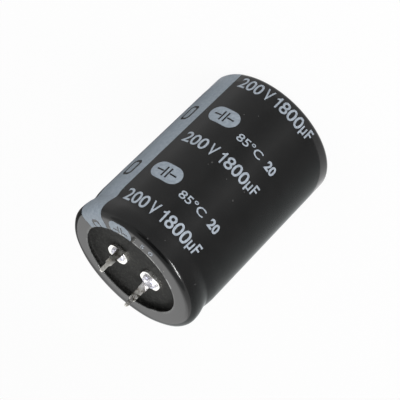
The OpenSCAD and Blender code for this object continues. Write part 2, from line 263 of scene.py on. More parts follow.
# %% Turn the sleeve
sleeve_steps = 320
lip_out, lip_in = lip_path()
outside = film_path(0) + lip_out[:-1]
inside = [lip_out[-1]] + lip_in + film_path(film)[::-1]
sleeve = turned("sleeve_film", outside + inside + outside[:1], sleeve_steps)

# %% Mark the cut edge
# The cut edge's mark sets a pale colour: partly film whitened by stretching, partly a painted
# glint, strongest on the side towards the camera.
pale_reach = 0.55
pale_depth = 0.2
glint_side = (-135, -50)
glint_elsewhere = 0.15
edge_mark = sleeve.data.attributes.new("cut_edge", "FLOAT", "POINT")
for v, mark in zip(sleeve.data.vertices, edge_mark.data):
    beyond = math.hypot(v.co.x, v.co.y) / mm - opening_r
    on_lip = v.co.z / mm > rim_top - pale_depth
    mark.value = max(0.0, 1 - beyond / pale_reach) if on_lip else 0.0
    around = math.degrees(math.atan2(v.co.y, v.co.x))
    mark.value *= 1.0 if glint_side[0] < around < glint_side[1] else glint_elsewhere
print("cut edge marked at", sum(1 for m in edge_mark.data if m.value > 0.5), "points")

# %% Soft pulls along the free edge
def pull(piece, point, move, reach):
    """Selects the vertex nearest to a point and pulls it with soft falloff."""
    only(piece)
    bpy.ops.object.mode_set(mode="EDIT")
    bpy.ops.mesh.select_all(action="DESELECT")
    bm = bmesh.from_edit_mesh(piece.data)
    target = Vector(point) * mm
    min(bm.verts, key=lambda v: (v.co - target).length).select = True
    bm.select_flush(True)
    bmesh.update_edit_mesh(piece.data)
    bpy.ops.transform.translate(
        value=Vector(move) * mm, use_proportional_edit=True,
        proportional_edit_falloff="SMOOTH", proportional_size=reach * mm)
    bpy.ops.object.mode_set(mode="OBJECT")


pull_reach = 6.4
edge_pulls = (
    (0, 0.41), (30, 0.36), (60, 0.16), (90, -0.12), (118, -0.24), (145, -0.46), (171, -0.16),
    (-158, 0.0), (-130, -0.1), (-102, -0.06), (-76, -0.12), (-50, 0.13), (-25, 0.3))
for angle, amount in edge_pulls:
    ray = Vector((math.cos(math.radians(angle)), math.sin(math.radians(angle)), 0))
    pull(sleeve, ray * opening_r + Vector((0, 0, rim_top)), ray * amount, pull_reach)
smooth(sleeve)
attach(sleeve, "root")
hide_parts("sleeve")
print("free edge pulled at", len(edge_pulls), "places")

# %% [markdown]
# ## The seal
# The seal's face is rubber. The can's rolled edge bites into it, and the rubber stands up beside it
# in a thin wall. It is turned from half its outline: a flat face, a fillet and a round-topped wall.

# %% Seal
seal_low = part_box("rubber_facing")[0].z / mm
seal_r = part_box("rubber_facing")[1].x / mm
curl_face_r = 14.48
wall_half = 0.3
wall_gap = 0.15
fillet_r = 0.3
seal_steps = 96
seal = turned(
    "seal_face",
    [(0, seal_low), (seal_r, seal_low), (seal_r, rubber_z), (curl_face_r, rubber_z)]
    + arc(curl_face_r - wall_half, rim_top - film - wall_gap - wall_half, wall_half, 0, 180, 8)
    + arc(curl_face_r - 2 * wall_half - fillet_r, rubber_z + fillet_r, fillet_r, 0, -90, 5)
    + [(r, rubber_z) for r in (9, 4, 0)], seal_steps)
smooth(seal)
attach(seal, "root")
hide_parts("rubber_facing")
print(f"seal wall {wall_half * 2:.2f} mm thick")

# %% [markdown]
# ## Printing on the sleeve
# The ink is printed on the flat film before it shrinks. Here it is drawn flat too, in millimetres
# along the print and across it, then sliced so that it can bend, laid round the sleeve by arc
# length, and shrinkwrapped to the film. No operator rolls a flat mesh round an outline by its arc
# length, so that one step places each vertex by a formula. The ink ends where the film ends.

# %% Arc length along the film
foot_end = foot_steps + 1
lengths = [0.0]
for (r0, z0), (r1, z1) in zip(outside, outside[1:]):
    lengths.append(lengths[-1] + math.hypot(r1 - r0, z1 - z0))
body_start = lengths[foot_end] - outside[foot_end][1]
film_end = lengths[-1] - body_start
print(f"the film ends {film_end:.2f} mm along")


def film_point(s):
    """Radius and height of the film at arc length s, which is the height on the straight body."""
    s = max(0.0, min(lengths[-1], s + body_start))
    i = next(k for k in range(1, len(lengths)) if s <= lengths[k])
    t = (s - lengths[i - 1]) / (lengths[i] - lengths[i - 1])
    (r0, z0), (r1, z1) = outside[i - 1], outside[i]
    return r0 + (r1 - r0) * t, z0 + (z1 - z0) * t


# %% Laying flat print on the film
ink_gap = 0.015
ink_t = 0.012
end_margin = 0.05


def sliced(piece, step_x, step_y):
    """Cuts a flat mesh into strips both ways, so that it can follow the curves."""
    only(piece)
    bpy.ops.object.mode_set(mode="EDIT")
    corners = [Vector(c) for c in piece.bound_box]
    for axis, step in ((0, step_x), (1, step_y)):
        low = min(c[axis] for c in corners)
        high = max(c[axis] for c in corners)
        cuts = int((high - low) / step)
        for i in range(1, cuts + 1):
            place, normal = [0, 0, 0], [0, 0, 0]
            place[axis] = low + (high - low) * i / (cuts + 1)
            normal[axis] = 1
            all_selected()
            bpy.ops.mesh.bisect(plane_co=place, plane_no=normal)
    bpy.ops.object.mode_set(mode="OBJECT")


def cut_off_past(piece, y):
    """Removes what lies below y of a flat print, which is past the end of the film."""
    only(piece)
    bpy.ops.object.mode_set(mode="EDIT")
    all_selected()
    bpy.ops.mesh.bisect(plane_co=(0, y, 0), plane_no=(0, 1, 0), clear_inner=True)
    bpy.ops.object.mode_set(mode="OBJECT")


def lay_on_film(piece, angle, s, step_x=0.5, step_y=0.5):
    """Lays a flat print with its origin at an angle and arc length, its top towards the foot."""
    if piece.dimensions.y / 2 + s > film_end - end_margin:
        cut_off_past(piece, s - film_end + end_margin)
    sliced(piece, step_x, step_y)
    for v in piece.data.vertices:
        turn = math.radians(angle) - v.co.x / body_r
        r, z = film_point(s - v.co.y)
        v.co = Vector((r * math.cos(turn), r * math.sin(turn), z)) * mm
    wrap = piece.modifiers.new("on the film", "SHRINKWRAP")
    wrap.target = sleeve
    wrap.wrap_method = "NEAREST_SURFACEPOINT"
    wrap.wrap_mode = "ABOVE_SURFACE"
    wrap.offset = ink_gap * mm
    apply_modifiers(piece)
    thick = piece.modifiers.new("ink", "SOLIDIFY")
    thick.thickness = ink_t * mm
    thick.offset = 1
    apply_modifiers(piece)


# %% [markdown]
# ## Shapes of the print
# Outlines are drawn as flat curves, because a curve fills itself and leaves holes where one outline
# lies inside another. Figures are text, made narrow and a little bolder, and turned into a mesh.

# %% Flat outlines and figures
def flat_outlines(name, outlines):
    """A filled flat mesh from closed outlines of (x, y) points. Inner outlines are holes."""
    nothing_selected()
    bpy.ops.curve.primitive_nurbs_path_add()
    piece = bpy.context.object
    piece.name = piece.data.name = name
    curve = piece.data
    curve.splines.clear()
    curve.dimensions = "2D"
    curve.fill_mode = "BOTH"
    for outline in outlines:
        spline = curve.splines.new("POLY")
        spline.points.add(len(outline) - 1)
        for point, (x, y) in zip(spline.points, outline):
            point.co = (x, y, 0, 1)
        spline.use_cyclic_u = True
    bpy.ops.object.convert(target="MESH")
    return bpy.context.object


def flat_text(name, words, height, width, bold):
    """A line of figures as a flat mesh, height and width in mm, starting at x = 0."""
    nothing_selected()
    bpy.ops.object.text_add()
    piece = bpy.context.object
    piece.name = piece.data.name = name
    piece.data.body = words
    piece.data.align_y = "CENTER"
    piece.data.offset = bold
    piece.data.resolution_u = 6
    bpy.ops.object.convert(target="MESH")
    piece = bpy.context.object
    low_x = min(v.co.x for v in piece.data.vertices)
    low_y = min(v.co.y for v in piece.data.vertices)
    size = piece.dimensions
    scale_x = width / size.x
    scale_y = height / size.y
    for v in piece.data.vertices:
        v.co = ((v.co.x - low_x) * scale_x, (v.co.y - low_y) * scale_y - height / 2, 0)
    return piece


def rounded(x0, x1, y0, y1, r, steps=6):
    """Outline of a rectangle with round corners."""
    corners = (
        (x1 - r, y1 - r, 0), (x0 + r, y1 - r, 90), (x0 + r, y0 + r, 180), (x1 - r, y0 + r, 270))
    return [p for x, y, a in corners for p in arc(x, y, r, a, a + 90, steps)]


def box_outline(x0, x1, y0, y1):
    """Outline of a rectangle."""
    return [(x0, y0), (x1, y0), (x1, y1), (x0, y1)]


# %% [markdown]
# ## The stripe
# The broad stripe marks the negative pin. It runs the whole length, over both ends, and each repeat
# of the print leaves an eight-sided ring bare in it. The last ring lies on the rim, where the film
# has drawn in a little.

# %% Sizes of the stripe
row_pitch = 20.1
row_start = 3.25
stripe_near = -37.3
stripe_far = -9.9
stripe_mid = (stripe_near + stripe_far) / 2
stripe_w = math.radians(stripe_far - stripe_near) * body_r
mark_s = row_start + 12.4
mark_w = 3.3
mark_len = 5.1
mark_line = 0.7
corner_share = 0.45
mark_shift = (0, 0, 0.5)
stripe_mid_s = 27
stripe_up = 27.5
stripe_down = 30
print(f"stripe {stripe_w:.2f} mm wide")

# %% Stripe
def eight_sides(x, y, w, h):
    """Outline with eight sides about (x, y), with half its width and half its height."""
    c = w * corner_share
    return [(x + w, y - h + c), (x + w, y + h - c), (x + w - c, y + h), (x - w + c, y + h),
            (x - w, y + h - c), (x - w, y - h + c), (x - w + c, y - h), (x + w - c, y - h)]


outlines = [box_outline(-stripe_w / 2, stripe_w / 2, -stripe_down, stripe_up)]
for k in range(3):
    y = stripe_mid_s - (mark_s + k * row_pitch - mark_shift[k])
    outlines.append(eight_sides(0, y, mark_w / 2, mark_len / 2))
    outlines.append(eight_sides(0, y, mark_w / 2 - mark_line, mark_len / 2 - mark_line))
stripe = flat_outlines("stripe_print", outlines)
lay_on_film(stripe, stripe_mid, stripe_mid_s, step_x=0.7, step_y=0.35)
smooth(stripe)

# %% [markdown]
# ## Figures and the plain mark
# Each repeat has the rating, a plain mark with the drawing symbol for a capacitor, and the
# temperature and tolerance. The figures are generic. Each group of figures starts and ends at an
# angle on the body. The third repeat runs over the rim, so its mark is cut off by the film's free
# edge and its small row is worn down to two figures.

# %% Placing a row
first_angle = -43.4


def at(angle):
    """Distance along the print from the first figure to an angle on the body."""
    return math.radians(first_angle - angle) * body_r


def place_row(parts, name, s):
    """Joins the flat parts of a row and lays them on the film at an arc length."""
    only(parts[0])
    for part in parts[1:]:
        part.select_set(True)
    if len(parts) > 1:
        bpy.ops.object.join()
    row = bpy.context.object
    row.name = row.data.name = name
    lay_on_film(row, first_angle, s)
    smooth(row)
    return row


def shifted(piece, x, y):
    """Moves a flat piece along and across the print."""
    for v in piece.data.vertices:
        v.co.x += x
        v.co.y += y
    return piece


# %% Parts of the rows
tall = 3.3
bold = 0.012
light = 0.008
heavy = 0.035
small_drop = -2.3


def run_of(name, words, height, first, last, weight, drop=0):
    """Flat figures that run from one angle on the body to another."""
    return shifted(flat_text(name, words, height, at(last) - at(first), weight), at(first), drop)


def figure_one(x, h):
    """The outline of a figure one: a stem with a flag."""
    y = -h / 2
    return [(x + 0.62, y), (x + 1.08, y), (x + 1.08, y + h), (x + 0.74, y + h),
            (x + 0.5, y + h * 0.86), (x, y + h * 0.77), (x, y + h * 0.65), (x + 0.62, y + h * 0.71)]


def rating_parts():
    """The rating in volts and microfarads."""
    return [
        run_of("volts", "200", tall, first_angle, -64.2, bold),
        shifted(flat_text("volt", "V", tall, 2.05, bold), at(-66.6), 0),
        flat_outlines("one", [figure_one(at(-76.9), tall)]),
        run_of("farads", "800", tall, -82.3, -104, bold),
        run_of("unit", "µF", 3.6, -104.9, -115.6, bold, -0.15),
    ]


def plain_mark():
    """A round-ended field with the drawing symbol left bare in it."""
    w, h = at(-69.5), 4.9
    return flat_outlines("mark", [
        rounded(0, w, -h / 2, h / 2, h / 2 - 0.01, 10),
        box_outline(1.3, w / 2 - 0.85, -0.22, 0.22),
        box_outline(w / 2 - 0.75, w / 2 - 0.3, -1.5, 1.5),
        box_outline(w / 2 + 0.3, w / 2 + 0.75, -1.5, 1.5),
        box_outline(w / 2 + 0.85, w - 1.3, -0.22, 0.22),
    ])


def small_parts():
    """The highest temperature and the tolerance."""
    return [
        run_of("warm", "85°C", 2.2, -75.5, -99.2, light, small_drop),
        run_of("spread", "20", 2.5, -104.9, -114.9, heavy, small_drop),
    ]


def worn_parts():
    """The two figures of the last small row that the shrunk rim has not swallowed."""
    return [
        shifted(flat_text("worn_five", "5", 1.6, 1.1, light), at(-80.5), -0.8),
        shifted(flat_text("worn_nought", "0", 1.6, 1.3, light), at(-89.5), -0.6),
    ]


# %% Rows of figures
small_rise = (11, 11, 9.3)
mark_rise = (11, 11, 10.6)
fields, figures = [stripe], []
for k in range(3):
    ratings_s = row_start + k * row_pitch
    figures.append(place_row(rating_parts(), f"rating_print_{k + 1}", ratings_s))
    small = small_parts() if k < 2 else worn_parts()
    figures.append(place_row(small, f"small_print_{k + 1}", ratings_s + small_rise[k]))
    fields.append(place_row([plain_mark()], f"mark_print_{k + 1}", ratings_s + mark_rise[k]))
for piece in fields + figures:
    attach(piece, "root")
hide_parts("sleeve_print")
print("print pieces:", [piece.name for piece in fields + figures])

# %% [markdown]
# ## Terminals
# Each terminal is stamped from tinned strip and bent up into a pin. So it is modelled the same way:
# an edge is extruded along the strip, from the lug's far end, round the bend and up the pin, and
# each cross edge is scaled to the strip's width there. Solidify gives the strip its thickness, two
# insets press a pan into the lug for the rivet, and a bevel rounds the sheared edges. The two
# terminals are the same piece, turned by half a turn.

# %% Sizes of the strip
strip_t = 0.8
lug_w = 5.3
bend_r = 0.4
root_w = 1.9
pin_w = 1.6
tip_w = 0.95
point_w = 0.55
stem_len = 5.4
tip_len = 2.3
point_len = 0.05
pin_top = lug_high.z
lug_y0 = lug_low.y
lug_y1 = lug_high.y
kink = 0.3
kink_at = 0.45
bend_steps = 6
pin_steps = 16
lug_widths = (
    (0, 3.1), (0.45, 4.05), (0.95, 4.8), (1.5, 5.2), (2.2, lug_w), (3.4, 5.25), (3.95, 4.9),
    (4.4, 4.2))
print(f"pins {2 * math.hypot(rivet_x, lug_y0 + strip_t / 2):.2f} mm apart, top at {pin_top:.2f} mm")

# %% The strip
def strip_stations():
    """(y, z, width) along the strip's lower face, from the lug's far end to the pin's tip."""
    stations = [(lug_y1 - d, rubber_z, w) for d, w in lug_widths]
    centre_y = lug_y0 + bend_r + strip_t
    centre_z = rubber_z + bend_r + strip_t
    for y, z in arc(centre_y, centre_z, bend_r + strip_t, -90, -180, bend_steps):
        stations.append((y, z, 0))
    rise = pin_top - centre_z
    for i in range(1, pin_steps + 1):
        u = (i / pin_steps - kink_at) / kink_at
        bow = kink * (1 + math.cos(math.pi * u)) / 2 if abs(u) < 1 else 0
        stations.append((lug_y0 - bow, centre_z + rise * i / pin_steps, 0))
    widths = []
    for y, z, w in stations:
        below_tip = pin_top - z
        if not w:
            w = tip_w if below_tip < tip_len else pin_w if below_tip < stem_len else root_w
            w = point_w if below_tip < point_len else w
        widths.append((y, z, w))
    return widths


def strip_mesh(name):
    """The strip, extruded from station to station and given its thickness."""
    stations = strip_stations()
    y, z, w = stations[0]
    start_point(name, rivet_x - 0.5, y, z)
    bpy.ops.mesh.extrude_region_move(TRANSFORM_OT_translate={"value": (mm, 0, 0)})
    all_selected()
    bpy.ops.transform.resize(value=(w, 1, 1), center_override=(rivet_x * mm, y * mm, z * mm))
    for (y0, z0, w0), (y1, z1, w1) in zip(stations, stations[1:]):
        step = Vector((0, y1 - y0, z1 - z0)) * mm
        bpy.ops.mesh.extrude_region_move(TRANSFORM_OT_translate={"value": step})
        middle = (rivet_x * mm, y1 * mm, z1 * mm)
        bpy.ops.transform.resize(value=(w1 / w0, 1, 1), center_override=middle)
    bpy.ops.object.mode_set(mode="OBJECT")
    piece = bpy.context.object
    thick = piece.modifiers.new("strip", "SOLIDIFY")
    thick.thickness = strip_t * mm
    thick.offset = -1
    thick.use_even_offset = True
    apply_modifiers(piece)
    low = min(v.co.z for v in piece.data.vertices) / mm
    print(f"{name}: lowest point {low:.2f} mm, on the rubber at {rubber_z:.2f}")
    return piece


# %% Picking faces
def face_mode(piece):
    """Opens a piece in edit mode, where faces are selected."""
    only(piece)
    bpy.ops.object.mode_set(mode="EDIT")
    bpy.ops.mesh.select_mode(type="FACE")


def pick_faces(piece, wanted):
    """Selects the faces that pass a test, which gets the face and its centre."""
    bpy.ops.mesh.select_all(action="DESELECT")
    bm = bmesh.from_edit_mesh(piece.data)
    for face in bm.faces:
        face.select_set(wanted(face, face.calc_center_median()))
    bmesh.update_edit_mesh(piece.data)


def leave_faces():
    """Goes back to vertices and out of edit mode."""
    bpy.ops.mesh.select_mode(type="VERT")
    bpy.ops.object.mode_set(mode="OBJECT")


# %% The pan
border_w = 0.45
slope_w = 0.3
pan_depth = 0.22
level_off = 0.05
facing_up = 0.9


def press_pan(piece):
    """Presses a pan into the lug's top, so that a border stands round the rivet."""
    level = (rubber_z + strip_t) * mm

    def on_lug(face, centre):
        return face.normal.z > facing_up and abs(centre.z - level) < level_off * mm

    face_mode(piece)
    all_selected()
    bpy.ops.mesh.normals_make_consistent(inside=False)
    pick_faces(piece, on_lug)
    bpy.ops.mesh.inset(thickness=border_w * mm, depth=0)
    bpy.ops.mesh.inset(thickness=slope_w * mm, depth=-pan_depth * mm)
    for slot in range(3):
        piece.data.materials.append(None)
    # The pan's faces take the second slot, whose darker tin is painted shade in the recess.
    piece.active_material_index = 1
    bpy.ops.object.material_slot_assign()
    leave_faces()


# %% Two terminals
shear_r = 0.11
pin_from = rubber_z + strip_t + 0.5


def terminal(name, turn):
    """One terminal: strip, pan, rounded edges and three slots for its finishes."""
    piece = strip_mesh(name)
    press_pan(piece)
    edge = piece.modifiers.new("sheared edges", "BEVEL")
    edge.width = shear_r * mm
    edge.segments = 3
    edge.limit_method = "ANGLE"
    edge.angle_limit = math.radians(40)
    apply_modifiers(piece)
    for face in piece.data.polygons:
        if face.center.z / mm > pin_from:
            face.material_index = 2
    only(piece)
    piece.rotation_euler.z = turn
    apply_place()
    smooth(piece, 40)
    return piece


terminals = [terminal("tinned_terminal_negative", 0), terminal("tinned_terminal_positive", math.pi)]
for piece, node in zip(terminals, ("terminal_negative", "terminal_positive")):
    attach(piece, "root")
    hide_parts(node)

# %% [markdown]
# ## Rivets
# A soft aluminium rivet holds each terminal. Its set head is spread by a punch, which leaves a
# hollow in the middle and notches round it. The rivet is turned from half its outline: flange,
# shank and head. Then six groups of faces round the head are pressed down.

# %% Rivet
head_r = 1.75
head_top = rivet_high.z
head_edge_r = 0.3
hollow_shape = ((1.0, 0), (0.75, 0.16), (0.3, 0.2), (0, 0.2))
shank_r = 1.3
flange_r = rivet_high.x - rivet_x
flange_t = 0.7
flange_top = rivet_low.z + flange_t
seat_z = rubber_z + strip_t - pan_depth
rivet_steps = 60
notch_step = 60
notch_share = 0.2
notch_depth = 0.18
notch_from_r = 1.2
notch_from_z = head_top - 0.35


def on_notch(face, centre):
    """Whether a face lies where the punch has left a notch in the head."""
    share = (math.degrees(math.atan2(centre.y, centre.x)) % notch_step) / notch_step
    out = math.hypot(centre.x, centre.y) / mm
    high = centre.z / mm > notch_from_z
    return high and out > notch_from_r and share < notch_share


def notched(piece):
    """Presses six groups of faces round the head down."""
    face_mode(piece)
    pick_faces(piece, on_notch)
    drop = (0, 0, -notch_depth * mm)
    bpy.ops.mesh.extrude_region_move(TRANSFORM_OT_translate={"value": drop})
    all_selected()
    bpy.ops.mesh.normals_make_consistent(inside=False)
    leave_faces()


def rivet(name, turn):
    """One rivet, turned and notched at the axis, then moved to its terminal."""
    outline = [(0, rivet_low.z), (flange_r, rivet_low.z), (flange_r, flange_top)]
    outline += [(shank_r, flange_top), (shank_r, seat_z), (head_r, seat_z)]
    outline += arc(head_r - head_edge_r, head_top - head_edge_r, head_edge_r, 0, 90, 5)
    outline += [(r, head_top - depth) for r, depth in hollow_shape]
    piece = turned(name, outline, rivet_steps)
    notched(piece)
    piece.location = (rivet_x * mm, rivet_y * mm, 0)
    apply_place()
    piece.rotation_euler.z = turn
    apply_place()
    smooth(piece, 40)
    return piece


rivets = [rivet("set_rivet_negative", 0), rivet("set_rivet_positive", math.pi)]
for piece, node in zip(rivets, ("rivet_negative", "rivet_positive")):
    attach(piece, "root")
    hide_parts(node)
print(f"rivet heads {2 * head_r:.2f} mm wide, top at {head_top:.2f} mm")

# %% [markdown]
# ## Shared effects
# Some effects can serve more than one finish: fine grain, specks of dust, and drawn lines. Each is
# a node group that puts out a mask and a height. The shader itself stays in the material.

# %% A new node group
def new_group(name, inputs):
    """A group with the given values in, and a mask and a height out."""
    group = bpy.data.node_groups.new(name, "ShaderNodeTree")
    for label, value in inputs:
        socket = group.interface.new_socket(label, in_out="INPUT", socket_type="NodeSocketFloat")
        socket.default_value = value
    group.interface.new_socket("Mask", in_out="OUTPUT", socket_type="NodeSocketFloat")
    group.interface.new_socket("Height", in_out="OUTPUT", socket_type="NodeSocketFloat")
    tree = group.nodes
    return group, tree.new("NodeGroupInput"), tree.new("NodeGroupOutput")


def math_node(tree, operation, *given):
    """A math node's output; what is given are sockets to link and numbers to set."""
    node = tree.nodes.new("ShaderNodeMath")
    node.operation = operation
    for socket, value in zip(node.inputs, given):
        if isinstance(value, float):
            socket.default_value = value
        else:
            tree.links.new(value, socket)
    return node.outputs[0]


# %% Grain
def grain_group():
    """Two sizes of noise: a broad mask for colour and a fine height for bump."""
    group, given, out = new_group("grain", [("Broad", 300.0), ("Fine", 3000.0)])
    place = group.nodes.new("ShaderNodeTexCoord")
    for label, socket, detail in (("Broad", "Mask", 3.0), ("Fine", "Height", 2.0)):
        noise = group.nodes.new("ShaderNodeTexNoise")
        noise.inputs["Detail"].default_value = detail
        group.links.new(place.outputs["Object"], noise.inputs["Vector"])
        group.links.new(given.outputs[label], noise.inputs["Scale"])
        group.links.new(noise.outputs["Fac"], out.inputs[socket])
    return group


# %% Specks of dust
speck_from = 0.72


def specks_group():
    """Small round specks, few and far between."""
    group, given, out = new_group("specks", [("Scale", 900.0), ("Size", 0.12)])
    place = group.nodes.new("ShaderNodeTexCoord")
    cells = group.nodes.new("ShaderNodeTexVoronoi")
    colour = group.nodes.new("ShaderNodeSeparateColor")
    link = group.links.new
    link(place.outputs["Object"], cells.inputs["Vector"])
    link(given.outputs["Scale"], cells.inputs["Scale"])
    link(cells.outputs["Color"], colour.inputs["Color"])
    near = math_node(group, "LESS_THAN", cells.outputs["Distance"], given.outputs["Size"])
    few = math_node(group, "GREATER_THAN", colour.outputs["Red"], speck_from)
    both = math_node(group, "MULTIPLY", near, few)
    link(both, out.inputs["Mask"])
    link(both, out.inputs["Height"])
    return group


# %% Drawn lines
def lines_group():
    """Drawn or brushed lines along one axis: noise stretched by its three scales."""
    group, given, out = new_group("drawn lines", [("Along", 60.0), ("Across", 4000.0)])
    place = group.nodes.new("ShaderNodeTexCoord")
    scale = group.nodes.new("ShaderNodeCombineXYZ")
    stretch = group.nodes.new("ShaderNodeVectorMath")
    stretch.operation = "MULTIPLY"
    noise = group.nodes.new("ShaderNodeTexNoise")
    noise.inputs["Scale"].default_value = 1.0
    noise.inputs["Detail"].default_value = 3.0
    link = group.links.new
    link(given.outputs["Across"], scale.inputs["X"])
    link(given.outputs["Across"], scale.inputs["Y"])
    link(given.outputs["Along"], scale.inputs["Z"])
    link(place.outputs["Object"], stretch.inputs[0])
    link(scale.outputs["Vector"], stretch.inputs[1])
    link(stretch.outputs["Vector"], noise.inputs["Vector"])
    link(noise.outputs["Fac"], out.inputs["Mask"])
    link(noise.outputs["Fac"], out.inputs["Height"])
    return group


# %% Make the groups
GRAIN = grain_group()
SPECKS = specks_group()
LINES = lines_group()
print("node groups:", [g.name for g in (GRAIN, SPECKS, LINES)])

# %% [markdown]
# ## Finishes
# Every finish has the same skeleton: a mask from a group runs through a colour ramp for the colour
# and through a map range for the roughness, and a height feeds a bump. What differs is the scale,
# the spread of colours and how strong the bump is.

# %% Finish skeleton
mask_span = (0.3, 0.7)


def finish(name, colours, rough, bump, effect=GRAIN, sizes=(300.0, 3000.0), metallic=0.0, ior=1.45):
    """A material: colours is (mask position, colour) pairs, rough a low and a high roughness."""
    material = bpy.data.materials.new(name)
    material.use_nodes = True
    nodes_, link = material.node_tree.nodes, material.node_tree.links.new
    shader = nodes_["Principled BSDF"]
    shader.inputs["Metallic"].default_value = metallic
    shader.inputs["IOR"].default_value = ior
    group = nodes_.new("ShaderNodeGroup")
    group.node_tree = effect
    group.name = "effect"
    for socket, size in zip(group.inputs, sizes):
        socket.default_value = size
    ramp = nodes_.new("ShaderNodeValToRGB")
    ramp.name = "colours"
    while len(ramp.color_ramp.elements) < len(colours):
        ramp.color_ramp.elements.new(0.5)
    for element, (position, colour) in zip(ramp.color_ramp.elements, colours):
        element.position = position
        element.color = (*colour, 1)
    spread = nodes_.new("ShaderNodeMapRange")
    for label, value in zip(("From Min", "From Max", "To Min", "To Max"), mask_span + rough):
        spread.inputs[label].default_value = value
    relief = nodes_.new("ShaderNodeBump")
    relief.name = "relief"
    relief.inputs["Strength"].default_value = 1.0
    relief.inputs["Distance"].default_value = bump * mm
    link(group.outputs["Mask"], ramp.inputs["Fac"])
    link(ramp.outputs["Color"], shader.inputs["Base Color"])
    link(group.outputs["Mask"], spread.inputs["Value"])
    link(spread.outputs["Result"], shader.inputs["Roughness"])
    link(group.outputs["Height"], relief.inputs["Height"])
    link(relief.outputs["Normal"], shader.inputs["Normal"])
    return material


def grey(level, tint=(1, 1, 1)):
    """A grey level with a slight tint."""
    return tuple(level * t for t in tint)


def wear(piece, material):
    """Gives a piece one material in place of any other."""
    piece.data.materials.clear()
    piece.data.materials.append(material)


# %% [markdown]
# ## The sleeve's film and the ink
# The film is a glossy black plastic. It shows its surroundings clearly, with a faint orange peel
# and a few specks of dust. Along its marked edge it is painted pale in patches: partly film
# whitened by stretching, partly a painted glint. The ink is a matt blue-grey with a slight mottle.
# The stripe and the plain marks are painted a little darker than the figures, which is painted
# shade on the stripe where it turns away from the lamp.

# %% Film
film_finish = finish(
    "shrink film", [(0.3, grey(0.0038, (1, 1.02, 1.05))), (0.7, grey(0.006, (1, 1.02, 1.03)))],
    rough=(0.09, 0.13), bump=0.0006, sizes=(220.0, 700.0), ior=1.42)

# %% A second colour
def mix_over(material, share, colour):
    """Mixes a colour over a finish's own, by the share that a socket gives."""
    tree = material.node_tree
    mix = tree.nodes.new("ShaderNodeMix")
    mix.data_type = "RGBA"
    mix.inputs["B"].default_value = (*colour, 1)
    shader = tree.nodes["Principled BSDF"]
    old = shader.inputs["Base Color"].links[0].from_socket
    tree.links.new(share, mix.inputs["Factor"])
    tree.links.new(old, mix.inputs["A"])
    tree.links.new(mix.outputs["Result"], shader.inputs["Base Color"])


# %% Specks on the film
def add_specks(material, colour, size, scale):
    """Mixes specks of dust into a finish, over its own colour."""
    tree = material.node_tree
    group = tree.nodes.new("ShaderNodeGroup")
    group.node_tree = SPECKS
    group.inputs["Scale"].default_value = scale
    group.inputs["Size"].default_value = size
    mix_over(material, group.outputs["Mask"], colour)


add_specks(film_finish, (0.045, 0.046, 0.045), size=0.09, scale=420.0)

# %% Pale edge and painted glint
patch_scale = 520.0
patch_span = (0.36, 0.52)


def add_pale_edge_and_glint(material, colour):
    """Paints the film pale in broken patches along its marked cut edge: partly film whitened by
    stretching, partly a painted glint.
    """
    tree = material.node_tree
    mark = tree.nodes.new("ShaderNodeAttribute")
    mark.attribute_name = "cut_edge"
    patches = tree.nodes.new("ShaderNodeTexNoise")
    patches.inputs["Scale"].default_value = patch_scale
    patches.inputs["Detail"].default_value = 4.0
    place = tree.nodes.new("ShaderNodeTexCoord")
    keep = tree.nodes.new("ShaderNodeMapRange")
    for label, value in zip(("From Min", "From Max"), patch_span):
        keep.inputs[label].default_value = value
    tree.links.new(place.outputs["Object"], patches.inputs["Vector"])
    tree.links.new(patches.outputs["Fac"], keep.inputs["Value"])
    share = math_node(tree, "MULTIPLY", keep.outputs["Result"], mark.outputs["Fac"])
    mix_over(material, share, colour)


add_pale_edge_and_glint(film_finish, (0.62, 0.63, 0.62))
wear(sleeve, film_finish)

# %% Ink
matt = {"rough": (0.4, 0.55), "bump": 0.003, "sizes": (1500.0, 5000.0), "ior": 1.25}
# The fields' ink is painted darker than the figures' ink: painted shade on the stripe, which turns
# away from the lamp. The plain marks share this ink.
shaded_ink_finish = finish(
    "printed field with painted shade", [(0.3, (0.212, 0.248, 0.287)), (0.7, (0.288, 0.33, 0.376))], **matt)
figure_finish = finish(
    "printed figures", [(0.3, (0.27, 0.305, 0.35)), (0.7, (0.36, 0.4, 0.45))], **matt)
for piece in fields:
    wear(piece, shaded_ink_finish)
for piece in figures:
    wear(piece, figure_finish)

# %% [markdown]
# ## Tin, aluminium and the seal
# The terminals are steel strip with a plate of tin: bright on the lug's border and stained on the
# pin.
# In the pan the tin is rougher and painted darker, as painted shade in the recess. The rivets and
# the can are soft aluminium. The seal's face is black rubber with a fine grain and a dusty bloom.

# %% Metals and rubber
tin = finish(
    "tin plate",
    [(0.28, (0.5, 0.45, 0.36)), (0.4, (0.9, 0.88, 0.83)), (0.6, (0.96, 0.96, 0.94)),
     (0.8, (0.97, 0.97, 0.96))],
    rough=(0.16, 0.36), bump=0.008, sizes=(900.0, 2600.0), metallic=1.0)
rivet_metal = finish(
    "rivet aluminium", [(0.3, (0.5, 0.5, 0.56)), (0.7, (0.66, 0.66, 0.71))],
    rough=(0.35, 0.5), bump=0.008, sizes=(900.0, 3500.0), metallic=1.0)
rubber = finish(
    "seal rubber",
    [(0.3, (0.006, 0.006, 0.0055)), (0.5, (0.018, 0.018, 0.0168)), (0.72, (0.045, 0.045, 0.042))],
    rough=(0.7, 0.95), bump=0.04, sizes=(2300.0, 4200.0), ior=1.25)
